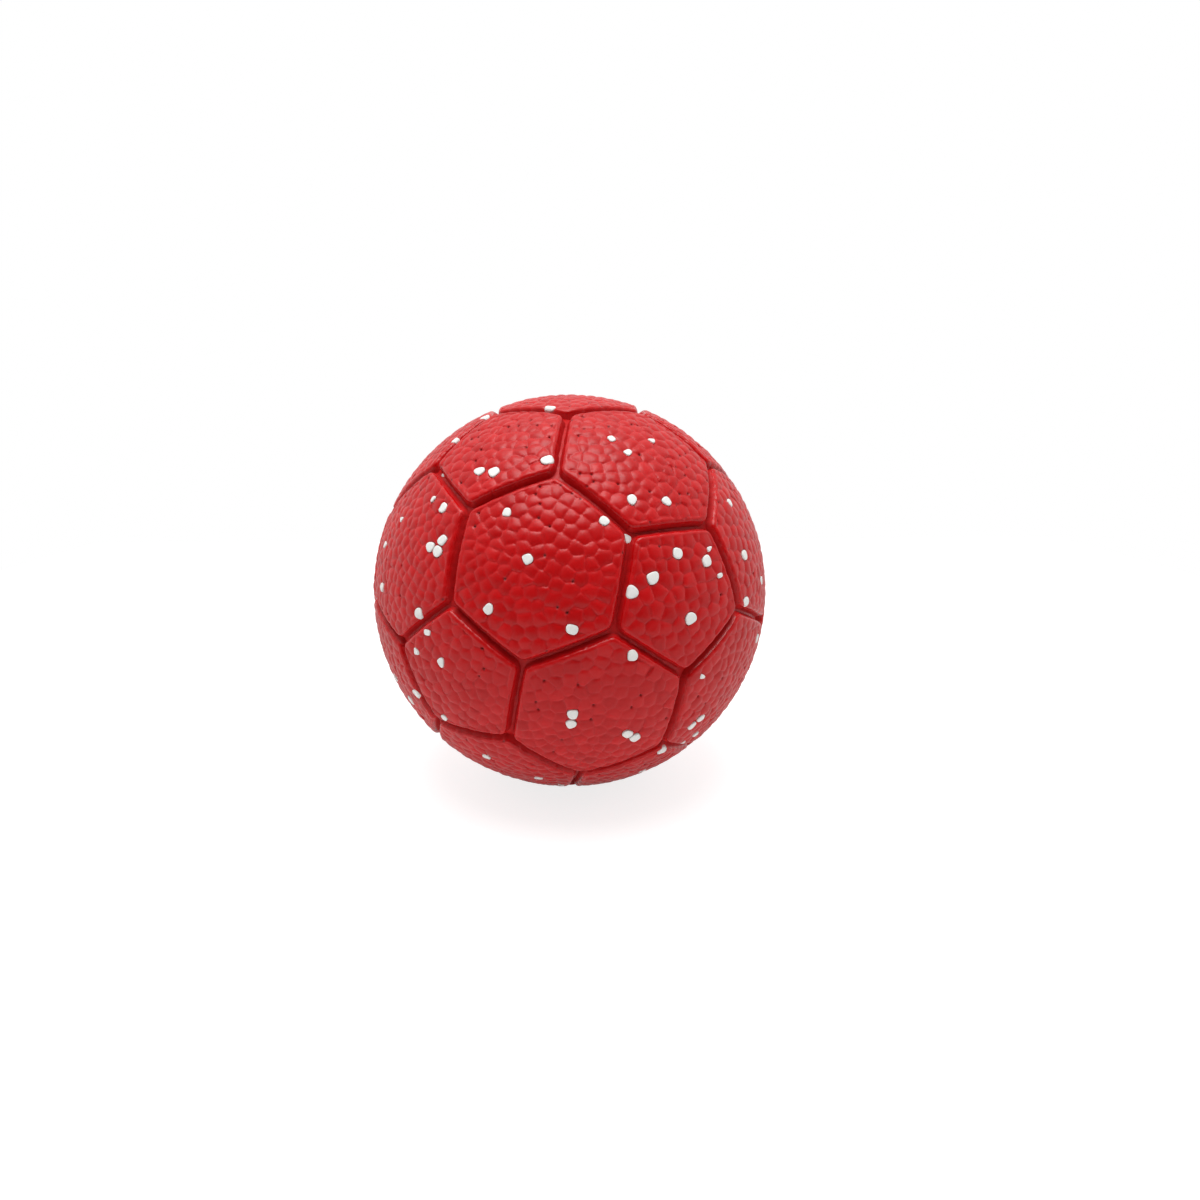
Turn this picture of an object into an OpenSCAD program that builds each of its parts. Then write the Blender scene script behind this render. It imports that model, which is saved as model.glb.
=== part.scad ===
// Dog ball of moulded bead foam, with the panels of a classic football.
// Twenty hexagons and twelve pentagons stand up from a round core, with grooves
// between them, and white beads are scattered among the red ones.
// The origin is the middle of the ball. +Z leaves through the middle of the top
// hexagon, +X lies under an upper pentagon, and the front is towards -Y.

/* [Ball] */
// Diameter over the panel faces
ball_d = 90; // [70:1:140]

/* [Grooves] */
// Depth of the grooves between the panels
groove_depth = 1.7; // [1.2:0.1:3]
// Width of a groove
groove_w = 1.9; // [1:0.1:3]

/* [White beads] */
// Diameter of a usual white bead
bead_d = 2.2; // [1.8:0.1:2.9]
// Depth of a bead's middle below the surface, as a share of its radius
bead_sink = 0.3; // [0.2:0.05:0.6]
// Room between white beads that lie side by side
bead_gap = 0.3; // [0.1:0.1:0.6]

/* [Hidden] */
// Fineness of the white beads and of the ball's own round faces
$fn = 64;
ball_fineness = 240;
ball_r = ball_d / 2;
core_r = ball_r - groove_depth;
red = [0.72, 0.12, 0.12];
dark_red = [0.62, 0.08, 0.09];
white = [0.88, 0.88, 0.87];

// Unit vector from a bearing about +Z and an angle down from +Z, in degrees
function pointing(bearing, fall) =
    [sin(fall) * cos(bearing), sin(fall) * sin(bearing), cos(fall)];

// Panel middles: a truncated icosahedron that stands on a hexagon
pentagon_high = acos(sqrt((5 + 2 * sqrt(5)) / 15));
pentagon_low = acos(sqrt((5 - 2 * sqrt(5)) / 15));
hexagon_high = acos(sqrt(5) / 3);
hexagon_low = acos(1 / 3);
hexagon_spread = 60 - acos(sqrt(5 / 8));
thirds = [0, 120, 240];
pentagons = concat(
    [for (turn = thirds) pointing(turn, pentagon_high)],
    [for (turn = thirds) pointing(turn + 60, pentagon_low)],
    [for (turn = thirds) pointing(turn, 180 - pentagon_low)],
    [for (turn = thirds) pointing(turn + 60, 180 - pentagon_high)]);
hexagons = concat(
    [pointing(0, 0)],
    [for (turn = thirds) pointing(turn + 60, hexagon_high)],
    [for (turn = thirds, side = [-1, 1]) pointing(turn + side * hexagon_spread, hexagon_low)],
    [for (turn = thirds, side = [-1, 1]) pointing(turn + 60 + side * hexagon_spread, 180 - hexagon_low)],
    [for (turn = thirds) pointing(turn, 180 - hexagon_high)],
    [pointing(0, 180)]);
panels = concat(hexagons, pentagons);

// Distance of each flat face from the middle, in edge lengths of the solid
hexagon_face = sqrt(3) * (3 + sqrt(5)) / 4;
pentagon_face = sqrt((125 + 41 * sqrt(5)) / 10) / 2;
faces = concat([for (panel = hexagons) hexagon_face], [for (panel = pentagons) pentagon_face]);
neighbour_angle = 45;
function unit(v) = v / norm(v);
function are_neighbours(i, j) = i != j && panels[i] * panels[j] > cos(neighbour_angle);
function seam_normal(i, j) = unit(panels[j] / faces[j] - panels[i] / faces[i]);

// White beads of the front: degrees right of the front, degrees above the middle,
// and size against a usual bead, from the top down
front_beads = [
    [-14, 70, 1], [-65, 64, 0.9], [-85, 58, 0.9], [19, 54, 0.8], [38, 53, 0.7],
    [-60, 53, 0.8], [23, 49, 0.8], [-7, 47, 1.1], [-31, 43, 1], [-25, 43, 1.1],
    [-48, -19, 1.1], [19, 35, 1], [30, 34, 0.9], [-45, 34, 0.6], [-17, 32, 0.9],
    [-39, 32, 1], [10, 30, 0.9], [59, 31, 0.8], [-58, 27, 0.8], [-36, 21, 1],
    [-10, 21, 1], [29, 21, 1], [40, 21, 0.6], [38, 18, 1], [-65, 19, 0.9],
    [21, 16, 1.1], [56, 17, 1], [15, 13, 1], [42, 14, 0.6], [-19, 9, 1],
    [-61, 8, 1], [67, 8, 0.8], [53, 5, 1], [1, 5, 1], [31, 5, 1.1],
    [-40, 5, 1.1], [-37, 1, 0.8], [15, -2, 0.9], [-42, -5, 0.8], [-33, -6, 0.9],
    [65, -8, 1], [36, -11, 0.6], [1, -17, 1.1], [-63, -19, 1], [-56, -24, 1.1],
    [-38, -24, 0.6], [16, -25, 1], [42, -26, 1], [46, -34, 0.9], [32, -36, 1],
    [41, -36, 0.6], [-29, -38, 0.9], [-13, -48, 0.9], [34, -51, 0.9], [-4, -57, 0.8]];

// White beads that lie against one of the front ones: where that one is, and the
// bearing of the second bead from it, clockwise from straight up
beside_beads = [
    [-36, 21, 15], [-36, 21, 285], [1, -17, 190], [16, -25, 130], [42, -26, 230]];

// White beads of the rim that the front view doesn't reach, written in the same way
side_beads = [
    [84, 4, 1], [98, 9, 0.9], [84, 17, 1], [101, 24, 0.8], [96, 31, 1],
    [106, 38, 1], [99, 47, 0.9], [118, 52, 1], [108, 61, 0.7], [140, 66, 1],
    [165, 72, 1], [-172, 80, 0.8], [-150, 69, 1], [-118, 60, 0.9], [-128, 50, 1],
    [-100, 44, 1], [-109, 33, 0.7], [-93, 27, 1], [-101, 15, 1], [-88, 9, 0.9],
    [-97, 2, 1]];

// White beads that lie in the floor of a groove
groove_beads = [[16, 26, 1], [-52, 43, 1]];

// A bead is kept as the direction of its middle and its radius
function bead_toward(right, up) = pointing(right - 90, 90 - up);
function bead(spot) = [bead_toward(spot[0], spot[1]), spot[2] * bead_d / 2];
function bead_beside(spot) =
    let (toward = bead_toward(spot[0], spot[1]),
         up = unit([0, 0, 1] - toward * toward[2]),
         right = cross(up, toward),
         step = (bead_d + bead_gap) / ball_r)
    [unit(toward + step * (cos(spot[2]) * up + sin(spot[2]) * right)), bead_d / 2];

// The hidden half repeats the scatter of the front half through the middle of the ball
function with_far_side(beads) = concat(beads, [for (b = beads) [-b[0], b[1]]]);
panel_beads = with_far_side(concat(
    [for (spot = concat(front_beads, side_beads)) bead(spot)],
    [for (spot = beside_beads) bead_beside(spot)]));
floor_beads = with_far_side([for (spot = groove_beads) bead(spot)]);

// The panel that holds a bead is the face that its direction meets first
function reach(b, i) = b[0] * panels[i] / faces[i];
function home_reach(b) = max([for (i = [0 : len(panels) - 1]) reach(b, i)]);
function beads_of(i) = [for (b = panel_beads) if (reach(b, i) == home_reach(b)) b];

hexagon_names = [for (i = [1 : len(hexagons)]) str("hexagon_", i)];
pentagon_names = [for (i = [1 : len(pentagons)]) str("pentagon_", i)];
panel_names = concat(hexagon_names, pentagon_names);
bead_names = ["white_beads_upper_hexagons", "white_beads_lower_hexagons",
              "white_beads_upper_pentagons", "white_beads_lower_pentagons"];

// Turns +Z towards a unit vector
module aim(v) {
    rotate([0, acos(v[2]), atan2(v[1], v[0])]) children();
}

// Everything past one side of a panel: half a groove away from the seam's plane
module past_side() {
    translate([-ball_d, -ball_d, -groove_w / 2]) cube(2 * ball_d);
}

// One panel before its white beads are let in: a shell of the ball inside its walls
module panel_body(i) {
    difference() {
        sphere(ball_r, $fn = ball_fineness);
        sphere(core_r, $fn = ball_fineness);
        for (j = [0 : len(panels) - 1])
            if (are_neighbours(i, j)) aim(seam_normal(i, j)) past_side();
    }
}

// White beads as whole balls, just under a surface of the given radius
module bead_balls(beads, surface_r) {
    for (b = beads)
        aim(b[0]) translate([0, 0, surface_r - bead_sink * b[1]]) sphere(b[1]);
}

// Round core of red foam, whose skin is the floor of the grooves
module core() {
    color(dark_red) difference() {
        sphere(core_r, $fn = ball_fineness);
        bead_balls(floor_beads, core_r);
    }
}

// Raised panel of red foam, with a pocket around each of its white beads
module panel(i) {
    color(red) difference() {
        panel_body(i);
        bead_balls(beads_of(i), ball_r);
    }
}

// White beads of one kind of panel, in the upper or the lower half
module white_beads(first, count, half) {
    color(white)
        for (i = [first : first + count - 1])
            if (panels[i][2] * half > 0 && len(beads_of(i)) > 0)
                intersection() {
                    panel_body(i);
                    bead_balls(beads_of(i), ball_r);
                }
}

// White beads in the floor of the grooves
module groove_floor_beads() {
    color(white) intersection() {
        sphere(core_r, $fn = ball_fineness);
        bead_balls(floor_beads, core_r);
    }
}

core();
for (i = [0 : len(panels) - 1])
    panel(i);
white_beads(0, len(hexagons), 1);
white_beads(0, len(hexagons), -1);
white_beads(len(hexagons), len(pentagons), 1);
white_beads(len(hexagons), len(pentagons), -1);
groove_floor_beads();  // white_beads_grooves
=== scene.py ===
import math

import bmesh
import bpy
import numpy as np
from mathutils import Matrix, Vector


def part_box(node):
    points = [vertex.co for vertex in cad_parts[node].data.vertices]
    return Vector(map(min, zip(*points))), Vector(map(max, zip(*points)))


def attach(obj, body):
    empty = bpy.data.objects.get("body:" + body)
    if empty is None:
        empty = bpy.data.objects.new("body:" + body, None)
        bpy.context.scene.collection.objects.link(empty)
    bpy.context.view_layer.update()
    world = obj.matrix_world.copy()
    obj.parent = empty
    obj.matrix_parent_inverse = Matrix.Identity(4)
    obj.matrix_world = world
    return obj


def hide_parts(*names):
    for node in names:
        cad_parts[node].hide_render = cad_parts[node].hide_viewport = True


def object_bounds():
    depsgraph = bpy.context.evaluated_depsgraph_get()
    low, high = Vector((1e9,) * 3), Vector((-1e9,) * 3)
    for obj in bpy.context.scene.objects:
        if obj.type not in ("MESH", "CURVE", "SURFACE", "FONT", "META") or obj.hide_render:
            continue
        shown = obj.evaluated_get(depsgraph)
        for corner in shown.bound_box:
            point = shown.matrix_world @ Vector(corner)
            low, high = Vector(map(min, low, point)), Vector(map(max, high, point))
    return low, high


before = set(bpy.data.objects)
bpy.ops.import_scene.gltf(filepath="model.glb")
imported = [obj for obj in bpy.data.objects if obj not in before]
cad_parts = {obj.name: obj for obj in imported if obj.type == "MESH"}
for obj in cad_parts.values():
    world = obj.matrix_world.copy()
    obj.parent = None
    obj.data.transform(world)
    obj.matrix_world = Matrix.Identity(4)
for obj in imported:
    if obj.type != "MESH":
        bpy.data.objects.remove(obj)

cad_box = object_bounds()


# Camera
# The ball stands on one hexagon and is seen from a little above, from close by, left of the
# middle of a square picture.
MM = 0.001
ball_radius = (cad_box[1][2] - cad_box[0][2]) / 2
view_turn = math.radians(0.5)
view_rise = math.radians(13.9)
view_roll = math.radians(-0.45)
view_distance = 3.95 * ball_radius
lens_length = 22.47
picture_px = 1200
ball_middle_px = (569.6, 590.4)

camera = bpy.data.objects.new("camera", bpy.data.cameras.new("camera"))
bpy.context.collection.objects.link(camera)
camera.location = view_distance * Vector((
    math.sin(view_turn) * math.cos(view_rise), -math.cos(view_turn) * math.cos(view_rise), math.sin(view_rise)))
camera.rotation_euler = (Matrix.Rotation(view_turn, 3, "Z")
                         @ Matrix.Rotation(math.radians(90) - view_rise, 3, "X")
                         @ Matrix.Rotation(view_roll, 3, "Z")).to_euler()
camera.data.sensor_width = 36
camera.data.lens = lens_length
camera.data.shift_x = 0.5 - ball_middle_px[0] / picture_px
camera.data.shift_y = ball_middle_px[1] / picture_px - 0.5
camera.data.clip_start = 10 * MM
bpy.context.scene.camera = camera
bpy.context.scene.view_settings.view_transform = "Standard"


# Studio floor
# A seamless white sweep, matt, which catches the soft shadow under the ball. It reads as paper
# white to the camera and in reflections.
def linear(code):
    """Linear colour, with alpha, of an sRGB hex colour."""
    channels = [int(code[i:i + 2], 16) / 255 for i in (0, 2, 4)]
    return [c / 12.92 if c <= 0.04045 else ((c + 0.055) / 1.055) ** 2.4 for c in channels] + [1]


def add(tree, kind, inputs=None, **settings):
    """Adds a node with its settings, and with a value or a link on each named input."""
    made = tree.nodes.new(kind)
    for name, value in settings.items():
        setattr(made, name, value)
    for name, value in (inputs or {}).items():
        if isinstance(value, bpy.types.NodeSocket):
            tree.links.new(value, made.inputs[name])
        else:
            made.inputs[name].default_value = value
    return made


def new_material(name):
    """An empty node material and its output node."""
    material = bpy.data.materials.new(name)
    material.use_nodes = True
    material.node_tree.nodes.clear()
    return material, material.node_tree.nodes.new("ShaderNodeOutputMaterial")


floor_half = 0.32
paper_glow = 0.35
camera_glow = 0.45
floor_mesh = bpy.data.meshes.new("floor")
plane = bmesh.new()
bmesh.ops.create_grid(plane, x_segments=1, y_segments=1, size=floor_half)
bmesh.ops.translate(plane, verts=plane.verts, vec=(0, 0, -ball_radius))
plane.to_mesh(floor_mesh)
plane.free()
floor = bpy.data.objects.new("floor", floor_mesh)
bpy.context.collection.objects.link(floor)

# White sweep paper: matt, and lifted to full white for what sees it directly or as a reflection,
# so that only the soft shadow shows on it
floor_material, output = new_material("white_sweep_paper")
tree = floor_material.node_tree
path = add(tree, "ShaderNodeLightPath")
seen = add(tree, "ShaderNodeMath", {0: path.outputs["Is Camera Ray"], 1: path.outputs["Is Glossy Ray"]},
           operation="MAXIMUM")
seen = add(tree, "ShaderNodeMath", {0: seen.outputs[0], 1: path.outputs["Is Transmission Ray"]},
           operation="MAXIMUM")
shade = add(tree, "ShaderNodeMix", {
    "Factor": seen.outputs[0], "A": linear("F8F8F8"), "B": linear("A2A2A2")}, data_type="RGBA")
lift = add(tree, "ShaderNodeMath", {0: seen.outputs[0], 1: paper_glow}, operation="MULTIPLY")
lift = add(tree, "ShaderNodeMath", {0: path.outputs["Is Camera Ray"], 1: camera_glow, 2: lift.outputs[0]},
           operation="MULTIPLY_ADD")
paper = add(tree, "ShaderNodeBsdfDiffuse", {"Color": shade.outputs["Result"]})
glow = add(tree, "ShaderNodeEmission", {"Color": linear("FFFFFF"), "Strength": lift.outputs[0]})
sweep = add(tree, "ShaderNodeAddShader", {0: paper.outputs[0], 1: glow.outputs[0]})
tree.links.new(sweep.outputs[0], output.inputs["Surface"])
floor_mesh.materials.append(floor_material)


# Studio light
# One softbox overhead in a pale room that is dim behind the camera, so the top of the ball is
# bright, its front keeps its full colour and its sides pick up a white edge.
softbox = bpy.data.lights.new("softbox", "AREA")
softbox.shape = "DISK"
softbox.size = 0.42
softbox.energy = 2.68
softbox_object = bpy.data.objects.new("softbox", softbox)
softbox_object.location = (-0.02, -0.12, 0.5)
bpy.context.collection.objects.link(softbox_object)

room = bpy.data.worlds.new("studio_room")
room.use_nodes = True
tree = room.node_tree
tree.nodes.clear()
path = add(tree, "ShaderNodeLightPath")
mirrored = add(tree, "ShaderNodeMath", {
    0: path.outputs["Is Glossy Ray"], 1: path.outputs["Is Transmission Ray"]}, operation="MAXIMUM")
around = add(tree, "ShaderNodeTexCoord")
axes = add(tree, "ShaderNodeSeparateXYZ", {0: around.outputs["Generated"]})
# The backdrop is white as a lamp and a little less to what mirrors it, and the camera's side is dim
room_as_lamp = 1.0
room_mirrored = 0.9
room_dim_side = 0.03
pale = add(tree, "ShaderNodeMix", {"Factor": mirrored.outputs[0], "A": room_as_lamp, "B": room_mirrored})
side = add(tree, "ShaderNodeMapRange", {
    "Value": axes.outputs["Y"], "From Min": -0.9, "From Max": 0.0,
    "To Min": room_dim_side, "To Max": 1.0}, interpolation_type="SMOOTHSTEP")
level = add(tree, "ShaderNodeMath", {0: pale.outputs["Result"], 1: side.outputs[0]}, operation="MULTIPLY")
strength = add(tree, "ShaderNodeMix", {
    "Factor": path.outputs["Is Camera Ray"], "A": level.outputs[0], "B": 1.0})
sky = add(tree, "ShaderNodeBackground", {"Color": linear("FFFFFF"), "Strength": strength.outputs["Result"]})
add(tree, "ShaderNodeOutputWorld", {"Surface": sky.outputs[0]})
bpy.context.scene.world = room


# Beads
# The ball is moulded from foam beads some 2.6 mm across, poured in at random and fused with
# steam. Where they press on the mould each becomes a small flat pillow with a crease round it.
bead_pitch = 2.6 * MM
bead_reach = bead_pitch / 2
chance = np.random.default_rng(11)
WHITE_NODES = [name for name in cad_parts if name.startswith("white_beads")]
merge_reach = 0.001 * MM


def unit(v):
    """Vectors of length one along the rows of v."""
    return v / np.linalg.norm(v, axis=-1, keepdims=True)


def solids_of(node):
    """The points of each separate solid of a CAD node."""
    shell = bmesh.new()
    shell.from_mesh(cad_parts[node].data)
    bmesh.ops.remove_doubles(shell, verts=shell.verts, dist=merge_reach)
    solids = []
    met = set()
    for first in shell.verts:
        if first in met:
            continue
        met.add(first)
        group = [first]
        for vert in group:
            for edge in vert.link_edges:
                other = edge.other_vert(vert)
                if other not in met:
                    met.add(other)
                    group.append(other)
        solids.append(np.array([vert.co[:] for vert in group]))
    shell.free()
    return solids


# White beads lie where the CAD solids are: middle direction, half width, and their node
white_toward = []
white_half = []
white_node = []
for node in WHITE_NODES:
    for points in solids_of(node):
        middle = unit(points.mean(axis=0))
        across = points - np.outer(points @ middle, middle)
        white_toward.append(middle)
        white_half.append(np.linalg.norm(across, axis=1).max())
        white_node.append(node)
white_toward = np.array(white_toward)
white_half = np.array(white_half)
white_count = len(white_half)

# Red beads start at random and are pushed apart, and the white ones stay where they are
bead_share = 0.87 * bead_pitch ** 2
settle_rounds = 24
settle_reach = 1.3 * bead_pitch
settle_step = 0.3
least_gap = 0.01 * MM
red_count = int(4 * math.pi * ball_radius ** 2 / bead_share) - white_count
toward = np.vstack([white_toward, unit(chance.normal(size=(red_count, 3)))])
for _ in range(settle_rounds):
    apart = ball_radius * np.sqrt(np.maximum(2 - 2 * toward[white_count:] @ toward.T, 0)) + least_gap
    push = np.clip(settle_reach - apart, 0, None) / apart * settle_step
    push[apart < 2 * least_gap] = 0
    moved = toward[white_count:] * (1 + push.sum(axis=1, keepdims=True)) - push @ toward
    toward[white_count:] = unit(moved)
bead_sites = toward * ball_radius
bead_count = len(bead_sites)

# A smaller bead gives way to its neighbours by this much, which bends the crease between them
margin_spread = 0.16
margin_limit = 0.35
white_margin_limit = 1.8 * MM
bead_margin = np.clip(chance.normal(0, margin_spread, bead_count), -margin_limit, margin_limit) * MM
bead_margin[:white_count] = np.clip(2 * (white_half - bead_reach), -white_margin_limit, 0)

# Each bead sits a touch high or low, leans a touch, and has its own shade of red
lift_spread = 0.02
lean_spread = 0.045
bead_lift = chance.normal(0, lift_spread, bead_count) * MM
bead_lean = chance.normal(0, lean_spread, (bead_count, 3))
bead_tone = chance.normal(0, 1, bead_count)

# Pinholes stay open at corners where three beads meet, more of them towards the top of the mould
pinhole_heights = (0.4, 0.75)
pinhole_chances = (0.1, 0.4)
pinholes = []
for site in chance.permutation(bead_count):
    near = np.argsort(-toward @ toward[site])[:8]
    a, b = toward[site], toward[chance.choice(near[1:5])]
    for c in toward[near[1:]]:
        corner = np.cross(b - a, c - a)
        if np.linalg.norm(corner) < 1e-6:
            continue
        corner = unit(corner) * np.sign(corner @ a)
        if (toward[near] @ corner).max() <= a @ corner + 1e-6 and near.min() >= white_count:
            if chance.random() < np.interp(corner[2], pinhole_heights, pinhole_chances):
                pinholes.append(corner * ball_radius)
            break
pinholes = np.array(pinholes)

crease_depth = 0.22 * MM
crease_half = 1.1 * MM
crease_line = 0.25 * MM
pocket_depth = 0.5 * MM
pocket_edge = 0.25 * MM
pinhole_depth = 0.4 * MM
pinhole_half = 0.22 * MM
pinhole_catch = 0.3 * MM
corner_soft = 0.14 * MM


def bead_relief(points, middle, reach):
    """Height, crease, tone and pinhole values of the bead skin at points near a middle direction."""
    close = np.flatnonzero(toward @ middle > math.cos(reach))
    sites = bead_sites[close]
    apart = (points ** 2).sum(1)[:, None] + (sites ** 2).sum(1) - 2 * points @ sites.T
    apart = np.sqrt(np.maximum(apart, 0)) - bead_margin[close]
    order = np.argpartition(apart, 2, axis=1)[:, :3]
    order = np.take_along_axis(order, np.argsort(np.take_along_axis(apart, order, axis=1), axis=1), axis=1)
    first, second, third = np.take_along_axis(apart, order, axis=1).T
    nearest = close[order[:, 0]]
    # Half the lead over the next two beads is the way to the crease, and it is softened at corners
    to_crease = (second - first) / 2
    to_crease = to_crease - corner_soft * np.log1p(np.exp((second - third) / 2 / corner_soft))
    to_crease = np.maximum(to_crease, 0)
    dip = np.clip(1 - to_crease / crease_half, 0, 1) ** 2
    height = -crease_depth * dip + bead_lift[nearest]
    height += (bead_lean[nearest] * (points - bead_sites[nearest])).sum(axis=1)
    in_white = nearest < white_count
    inside = np.clip(to_crease / pocket_edge, 0, 1)
    height = np.where(in_white, -crease_depth - pocket_depth * inside, height)
    hole = np.zeros(len(points))
    around_hole = pinholes[pinholes @ middle > ball_radius * math.cos(reach)]
    for spot in around_hole:
        away = ((points - spot) ** 2).sum(axis=1)
        if away.min() < pinhole_catch ** 2:
            away = ((points - points[away.argmin()]) ** 2).sum(axis=1)
            hole = np.maximum(hole, np.exp(-away / pinhole_half ** 2))
    height -= pinhole_depth * hole
    crease = np.clip(1 - to_crease / crease_line, 0, 1)
    return height, crease, bead_tone[nearest], hole


def give(mesh, name, values):
    """Keeps one number a vertex on a mesh, for its material to read."""
    mesh.attributes.new(name, "FLOAT", "POINT").data.foreach_set("value", values.astype(np.float32))


def points_of(mesh):
    """The places of a mesh's vertices."""
    points = np.empty(len(mesh.vertices) * 3, np.float32)
    mesh.vertices.foreach_get("co", points)
    return points.reshape(-1, 3).astype(np.float64)


def normals_of(mesh):
    """The normals of a mesh's vertices."""
    normals = np.empty(len(mesh.vertices) * 3, np.float32)
    mesh.vertex_normals.foreach_get("vector", normals)
    return normals.reshape(-1, 3).astype(np.float64)


def set_points(mesh, points):
    """Moves a mesh's vertices to new places."""
    mesh.vertices.foreach_set("co", points.astype(np.float32).ravel())
    mesh.update()


def finish_piece(name, mesh, material, slot, *nodes):
    """Makes a mesh a smooth piece of the ball that stands for its CAD nodes."""
    mesh.shade_smooth()
    mesh.materials.append(material)
    piece = bpy.data.objects.new(name, mesh)
    bpy.context.collection.objects.link(piece)
    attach(piece, "root")
    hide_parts(*nodes)
    return piece


# Core
# The round body of red foam under the panels. Its skin is the floor of the grooves, which the
# ribs of the mould press smooth, so the beads hardly show there.
core_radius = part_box("core")[1][2]
core_relief = 0.2
core_relief_limit = 0.08 * MM
core_span = math.radians(60)
core_mesh = bpy.data.meshes.new("core")
ball = bmesh.new()
bmesh.ops.create_icosphere(ball, subdivisions=6, radius=core_radius)
ball.to_mesh(core_mesh)
ball.free()
points = points_of(core_mesh)
core_toward = unit(points)
for axis in np.vstack([np.eye(3), -np.eye(3)]):
    mine = np.flatnonzero((core_toward @ axis) >= np.abs(core_toward).max(axis=1) - 1e-9)
    height = bead_relief(core_toward[mine] * ball_radius, axis, core_span)[0]
    points[mine] += core_toward[mine] * np.clip(core_relief * height, -core_relief_limit, 0)[:, None]
set_points(core_mesh, points)

# Moulded skin of elastic bead foam, pressed smooth: dull to satin, with faint blotches and a grain
core_material, output = new_material("smooth_red_foam_skin")
tree = core_material.node_tree
place = add(tree, "ShaderNodeTexCoord")
blotch = add(tree, "ShaderNodeTexNoise", {
    "Vector": place.outputs["Object"], "Scale": 1 / (4 * MM), "Detail": 3.0})
shade = add(tree, "ShaderNodeMapRange", {"Value": blotch.outputs[0], "From Min": 0.3, "From Max": 0.7})
colour = add(tree, "ShaderNodeMix", {
    "Factor": shade.outputs[0], "A": linear("AC0609"), "B": linear("B80B0E")}, data_type="RGBA")
grain = add(tree, "ShaderNodeTexNoise", {
    "Vector": place.outputs["Object"], "Scale": 1 / (0.8 * MM), "Detail": 4.0})
rough = add(tree, "ShaderNodeMapRange", {
    "Value": grain.outputs[0], "From Min": 0.35, "From Max": 0.65, "To Min": 0.35, "To Max": 0.65})
bump = add(tree, "ShaderNodeBump", {"Height": grain.outputs[0], "Strength": 0.4, "Distance": 0.08 * MM})
skin = add(tree, "ShaderNodeBsdfPrincipled", {
    "Base Color": colour.outputs["Result"], "Roughness": rough.outputs[0], "Normal": bump.outputs[0],
    "IOR": 1.28, "Subsurface Weight": 0.3, "Subsurface Radius": (1.0, 0.2, 0.15), "Subsurface Scale": 1.2 * MM})
tree.links.new(skin.outputs[0], output.inputs["Surface"])
core_piece = finish_piece("foam_core", core_mesh, core_material, "red_foam_core", "core")


# Panels
# Twenty hexagons and twelve pentagons of red foam stand up from the core, as on a classic football.
# They are moulded with it, so their rims are round and the beads are squeezed smooth on the walls.
pentagon_fall = [math.acos(math.sqrt((5 + 2 * math.sqrt(5)) / 15)),
                 math.acos(math.sqrt((5 - 2 * math.sqrt(5)) / 15))]
pentagon_fall += [math.pi - pentagon_fall[1], math.pi - pentagon_fall[0]]
pentagons = []
for ring, fall in enumerate(pentagon_fall):
    for third in range(3):
        bearing = math.radians(120 * third + 60 * (ring % 2))
        pentagons.append((
            math.sin(fall) * math.cos(bearing), math.sin(fall) * math.sin(bearing), math.cos(fall)))
pentagons = np.array(pentagons)
# Neighbouring pentagons lie 63.4 degrees apart and all others more than 90
touching = pentagons @ pentagons.T > math.cos(math.radians(70))
np.fill_diagonal(touching, False)
hexagons = unit(np.array([
    pentagons[i] + pentagons[j] + pentagons[k]
    for i in range(12) for j in range(i) for k in range(j)
    if touching[i, j] and touching[j, k] and touching[i, k]]))
# The football's corners lie a third of the way along each line between neighbouring pentagons
corners = unit(np.array([
    2 * pentagons[i] + pentagons[j] for i in range(12) for j in range(12) if touching[i, j]]))

# The football's flat sides, and the planes through the middles of the grooves between them
panel_middles = np.vstack([hexagons, pentagons])
panel_reach = np.array([(corners @ middle).max() for middle in panel_middles])
panel_planes = panel_middles / panel_reach[:, None]


def groove_gap(points):
    """How far points lie from the nearest groove's middle, along the skin, and the way into their panel."""
    ways = unit(points)
    own = np.argmax(ways @ panel_planes.T, axis=1)
    across = panel_planes[own][:, None, :] - panel_planes
    across = across / np.maximum(np.linalg.norm(across, axis=2, keepdims=True), 1e-9)
    gaps = (across * ways[:, None, :]).sum(axis=2) * ball_radius
    gaps[np.arange(len(ways)), own] = np.inf
    nearest = np.argmin(gaps, axis=1)
    rows = np.arange(len(ways))
    return gaps[rows, nearest], across[rows, nearest]


# Sizes across the groove are counted on the ball's skin from the middle of the groove
panel_thickness = ball_radius - core_radius
flat_gap = 1.65 * MM
rim_round = 0.95 * MM
wall_draft = math.radians(27)
wall_sink = 0.5 * MM
corner_round = 0.8 * MM
smooth_band = 0.5 * MM
rim_calm = 0.6
panel_span = math.radians(30)
rim_steps = 8
wall_steps = 4
grid_cuts = 78


def rounded(x, y, normals, reaches, hardness):
    """How far a point lies towards the outline of a polygon with soft corners: 1 on the outline."""
    share = np.clip(np.outer(x, normals[:, 0]) + np.outer(y, normals[:, 1]), 0, None) / reaches
    return (share ** hardness).sum(axis=1) ** (1 / hardness)


# The section of a rim, as gap and depth: a quarter round, then a wall that leans by its draft
rim_turns = np.linspace(0, math.pi / 2 - wall_draft, rim_steps + 1)
rim_section = [(flat_gap - rim_round * math.sin(turn), rim_round * (1 - math.cos(turn))) for turn in rim_turns]
wall_gap, wall_top = rim_section[-1]
for depth in np.linspace(wall_top, panel_thickness + wall_sink, wall_steps + 1)[1:]:
    rim_section.append((wall_gap - (depth - wall_top) * math.tan(wall_draft), depth))


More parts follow.
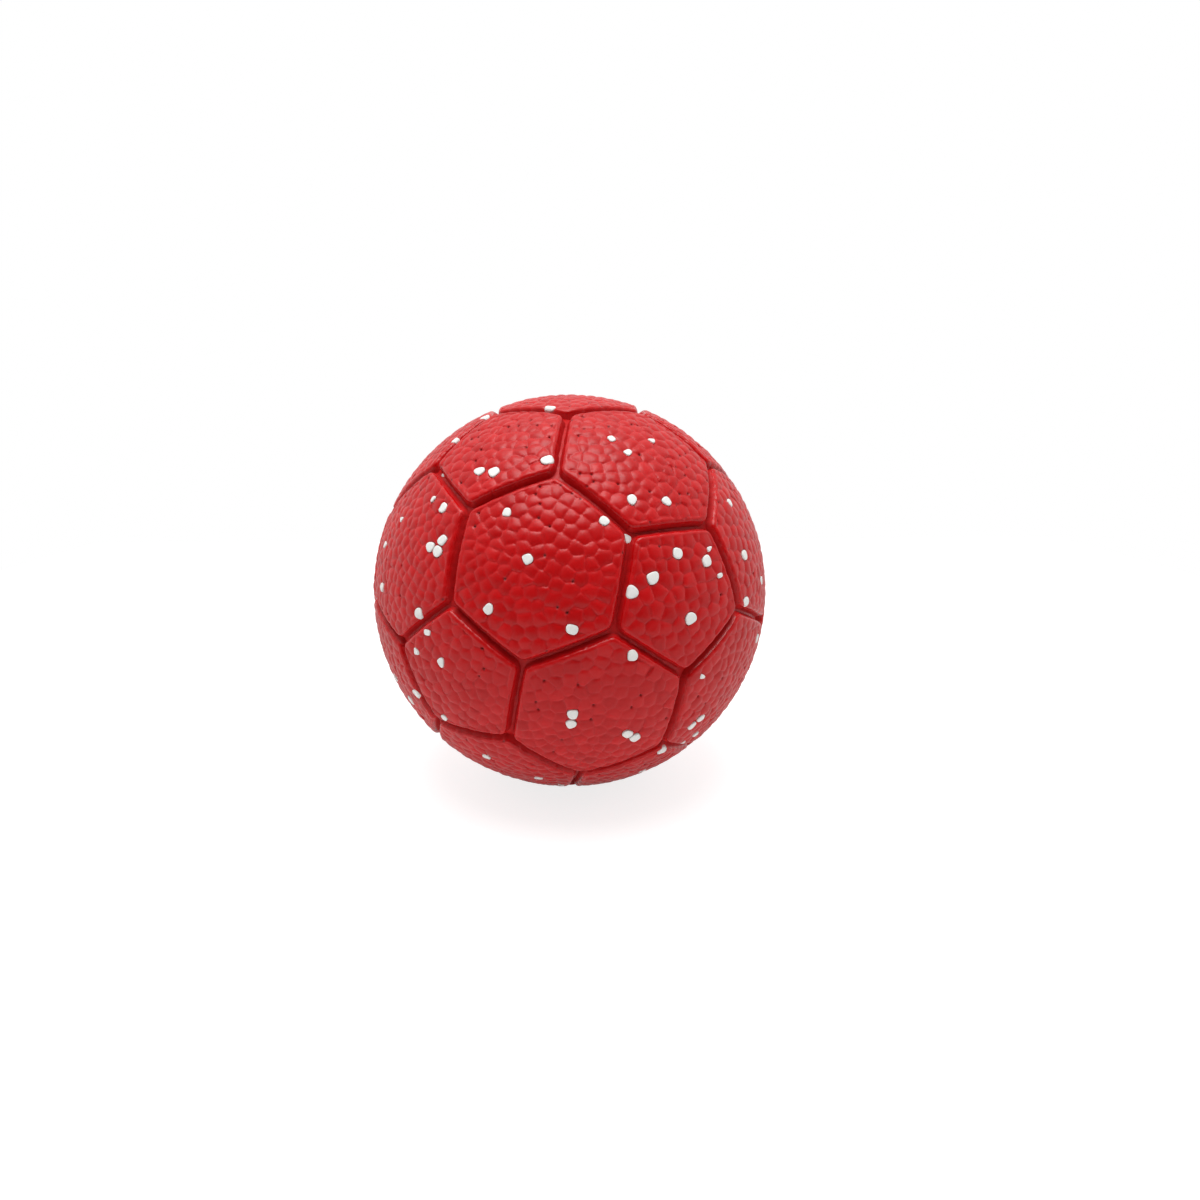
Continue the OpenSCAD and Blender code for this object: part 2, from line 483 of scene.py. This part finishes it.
def panel_plate(middle, sides):
    """A flat plate with soft corners, a round rim and a leaning wall, closed underneath."""
    corner_angle = math.acos((corners @ middle).max())
    seam_angle = math.atan(math.tan(corner_angle) * math.cos(math.pi / sides))
    reaches = [ball_radius * math.tan(seam_angle - gap / ball_radius) for gap, _ in rim_section]
    corner_reach = reaches[0] / math.cos(math.pi / sides)
    corner_cut = corner_round * (1 / math.cos(math.pi / sides) - 1)
    hardness = -math.log(2) / math.log(1 - corner_cut / corner_reach)
    angles = (np.arange(sides) + 0.5) * 2 * math.pi / sides
    normals = np.column_stack([np.cos(angles), np.sin(angles)])
    plate = bmesh.new()
    bmesh.ops.create_circle(plate, cap_ends=True, cap_tris=True, segments=sides, radius=corner_reach)
    bmesh.ops.rotate(plate, verts=plate.verts, cent=(0, 0, 0), matrix=Matrix.Rotation(-math.pi / 2, 3, "Z"))
    bmesh.ops.subdivide_edges(plate, edges=plate.edges, cuts=grid_cuts, use_grid_fill=True)
    flat = np.array([vert.co[:2] for vert in plate.verts])
    sharp = (flat @ normals.T).max(axis=1) / reaches[0]
    soft = rounded(flat[:, 0], flat[:, 1], normals, reaches[0], hardness)
    for vert, scale in zip(plate.verts, sharp / np.maximum(soft, 1e-9)):
        vert.co *= scale
    outline = [edge for edge in plate.edges if edge.is_boundary]
    for ring_at in range(1, len(rim_section)):
        grown = bmesh.ops.extrude_edge_only(plate, edges=outline)["geom"]
        outline = [item for item in grown if isinstance(item, bmesh.types.BMEdge)]
        ring = [item for item in grown if isinstance(item, bmesh.types.BMVert)]
        spots = np.array([vert.co[:2] for vert in ring])
        weight = np.clip(spots @ normals.T / reaches[0], 0, None) ** (hardness - 1)
        for vert, way in zip(ring, unit(weight @ normals) * (reaches[ring_at] - reaches[ring_at - 1])):
            vert.co.x += way[0]
            vert.co.y += way[1]
            vert.co.z = -rim_section[ring_at][1]
    bmesh.ops.contextual_create(plate, geom=outline)
    bmesh.ops.recalc_face_normals(plate, faces=plate.faces)
    mesh = bpy.data.meshes.new("plate")
    plate.to_mesh(mesh)
    plate.free()
    return mesh


# Skin of fused elastic foam beads: satin red, each bead a shade of its own, with a fine grain from the mould,
# pressed glossier on the rims and left dull on the walls. A pale line along the creases is painted reflection
# of the white room on the bead edges, and the pinholes are painted near black as painted shade
# Painted reflection: the creases are mixed towards a paler red, standing in for the white room that the bead
# edges reflect
crease_sheen_strength = 0.18
rim_roughness = 0.18
wall_roughness = 0.7
wall_onset = 2.0
panel_material, output = new_material("fused_red_foam_beads")
tree = panel_material.node_tree
place = add(tree, "ShaderNodeTexCoord")
tone = add(tree, "ShaderNodeAttribute", attribute_name="bead_tone")
crease = add(tree, "ShaderNodeAttribute", attribute_name="crease")
hole = add(tree, "ShaderNodeAttribute", attribute_name="pinhole")
rim = add(tree, "ShaderNodeAttribute", attribute_name="rim")
wall = add(tree, "ShaderNodeAttribute", attribute_name="wall")
shade = add(tree, "ShaderNodeMapRange", {"Value": tone.outputs["Fac"], "From Min": -2.0, "From Max": 2.0})
colour = add(tree, "ShaderNodeMix", {
    "Factor": shade.outputs[0], "A": linear("AC0609"), "B": linear("BC0D10")}, data_type="RGBA")
painted_crease_sheen = add(tree, "ShaderNodeMath", {0: crease.outputs["Fac"], 1: crease_sheen_strength}, operation="MULTIPLY")
colour = add(tree, "ShaderNodeMix", {
    "Factor": painted_crease_sheen.outputs[0], "A": colour.outputs["Result"], "B": linear("CC3033")}, data_type="RGBA")
# Painted shade: the pinholes are coloured near black for the shade that falls inside them, on top of their real
# shallow dip
colour = add(tree, "ShaderNodeMix", {
    "Factor": hole.outputs["Fac"], "A": colour.outputs["Result"], "B": linear("3A0304")}, data_type="RGBA")
grain = add(tree, "ShaderNodeTexNoise", {
    "Vector": place.outputs["Object"], "Scale": 1 / (0.35 * MM), "Detail": 3.0})
rough = add(tree, "ShaderNodeMapRange", {
    "Value": grain.outputs[0], "From Min": 0.3, "From Max": 0.7, "To Min": 0.29, "To Max": 0.4})
rough = add(tree, "ShaderNodeMix", {"Factor": rim.outputs["Fac"], "A": rough.outputs[0], "B": rim_roughness})
deep = add(tree, "ShaderNodeMath", {0: wall.outputs["Fac"], 1: wall_onset}, operation="MULTIPLY",
           use_clamp=True)
rough = add(tree, "ShaderNodeMix", {
    "Factor": deep.outputs[0], "A": rough.outputs["Result"], "B": wall_roughness})
colour = add(tree, "ShaderNodeMix", {
    "Factor": deep.outputs[0], "A": colour.outputs["Result"], "B": linear("B0060A")}, data_type="RGBA")
bump = add(tree, "ShaderNodeBump", {"Height": grain.outputs[0], "Strength": 0.5, "Distance": 0.04 * MM})
skin = add(tree, "ShaderNodeBsdfPrincipled", {
    "Base Color": colour.outputs["Result"], "Roughness": rough.outputs["Result"], "Normal": bump.outputs[0],
    "IOR": 1.33, "Subsurface Weight": 0.3, "Subsurface Radius": (1.0, 0.2, 0.15), "Subsurface Scale": 1.2 * MM})
tree.links.new(skin.outputs[0], output.inputs["Surface"])

for kind, middles, sides in (("hexagon", hexagons, 6), ("pentagon", pentagons, 5)):
    plate = panel_plate(middles[0], sides)
    flat = points_of(plate)
    for node in [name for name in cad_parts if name.startswith(kind)]:
        low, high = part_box(node)
        middle = middles[np.argmax(middles @ ((np.array(low) + np.array(high)) / 2))]
        corner = corners[np.argmax(corners @ middle)]
        along = unit(corner - middle * (corner @ middle))
        beside = np.cross(middle, along)
        spread = flat[:, 0:1] * along + flat[:, 1:2] * beside + ball_radius * middle
        points = unit(spread) * (ball_radius + flat[:, 2:3])
        mesh = plate.copy()
        mesh.name = node
        set_points(mesh, points)
        normals = normals_of(mesh)
        height, crease, tone, hole = bead_relief(points, middle, panel_span)
        gap, _ = groove_gap(points)
        calm = np.clip((flat_gap + smooth_band - gap) / smooth_band, 0, 1)
        rim = np.clip(-flat[:, 2] / wall_top, 0, 1)
        wall = np.clip((-flat[:, 2] - wall_top) / (panel_thickness - wall_top), 0, 1)
        set_points(mesh, points + normals * (height * (1 - rim_calm * calm ** 2))[:, None])
        give(mesh, "bead_tone", tone)
        give(mesh, "crease", crease)
        give(mesh, "pinhole", hole)
        give(mesh, "rim", rim)
        give(mesh, "wall", wall)
        piece = finish_piece(node + "_panel", mesh, panel_material, "red_foam_panels", node)
    bpy.data.meshes.remove(plate)


# White beads
# Beads of white foam scattered among the red. Each is a pebble squeezed to the shape that its
# neighbours leave it, flush with the skin, and fused in with them.
bead_round = 0.2 * MM
bead_body = 0.8 * MM
bead_corner_hardness = 5
bead_clearance = 0.94
bead_widest = 1.6 * MM
neighbour_reach = 2.2 * bead_pitch

# Skin of fused white foam beads: satin, with the same fine grain
white_material, output = new_material("fused_white_foam_beads")
tree = white_material.node_tree
place = add(tree, "ShaderNodeTexCoord")
grain = add(tree, "ShaderNodeTexNoise", {
    "Vector": place.outputs["Object"], "Scale": 1 / (0.4 * MM), "Detail": 3.0})
colour = add(tree, "ShaderNodeMix", {
    "Factor": grain.outputs[0], "A": linear("D8D8D4"), "B": linear("EAEAE7")}, data_type="RGBA")
bump = add(tree, "ShaderNodeBump", {"Height": grain.outputs[0], "Strength": 0.3, "Distance": 0.03 * MM})
skin = add(tree, "ShaderNodeBsdfPrincipled", {
    "Base Color": colour.outputs["Result"], "Roughness": 0.5, "Normal": bump.outputs[0], "IOR": 1.5})
tree.links.new(skin.outputs[0], output.inputs["Surface"])

# Any direction that no bead points in, to start the sideways axes from
any_way = [0.3, 0.5, 0.8]

for node in WHITE_NODES:
    in_groove = node.endswith("grooves")
    group = bmesh.new()
    for bead in [i for i in range(white_count) if white_node[i] == node]:
        middle = toward[bead]
        side = unit(np.cross(middle, any_way))
        other = np.cross(middle, side)
        gaps = bead_sites - bead_sites[bead]
        far = np.linalg.norm(gaps, axis=1)
        near = np.flatnonzero((far > 0) & (far < neighbour_reach))
        normals = unit(np.column_stack([gaps[near] @ side, gaps[near] @ other]))
        reaches = (far[near] + bead_margin[bead] - bead_margin[near]) / 2
        pebble = bmesh.ops.create_uvsphere(group, u_segments=18, v_segments=6, radius=1)["verts"]
        shape = np.array([vert.co[:] for vert in pebble])
        turn = shape[:, :2] / np.maximum(np.hypot(shape[:, 0], shape[:, 1]), 1e-9)[:, None]
        share = rounded(turn[:, 0], turn[:, 1], normals, reaches, bead_corner_hardness)
        reach = bead_clearance / np.maximum(share, 1)
        reach = np.minimum(reach, bead_widest) * np.hypot(shape[:, 0], shape[:, 1]) ** 0.5
        spots = middle * ball_radius + (turn[:, :1] * side + turn[:, 1:] * other) * reach[:, None]
        sunk = bead_round * (1 - np.clip(shape[:, 2], 0, 1)) ** 3
        sunk -= bead_body * np.clip(shape[:, 2], -1, 0)
        if in_groove:
            sunk += panel_thickness
        else:
            # Where a bead lies on a rim, it is rounded over with it and ends at the wall
            gap, inward = groove_gap(spots)
            spots += inward * np.clip(wall_gap - gap, 0, None)[:, None]
            over = np.clip(flat_gap - gap, 0, flat_gap - wall_gap)
            sunk += rim_round - np.sqrt(rim_round ** 2 - over ** 2)
        for vert, spot in zip(pebble, unit(spots) * (ball_radius - sunk)[:, None]):
            vert.co = spot
    bmesh.ops.recalc_face_normals(group, faces=group.faces)
    mesh = bpy.data.meshes.new(node)
    group.to_mesh(mesh)
    group.free()
    finish_piece(node + "_skin", mesh, white_material, "white_foam_beads", node)
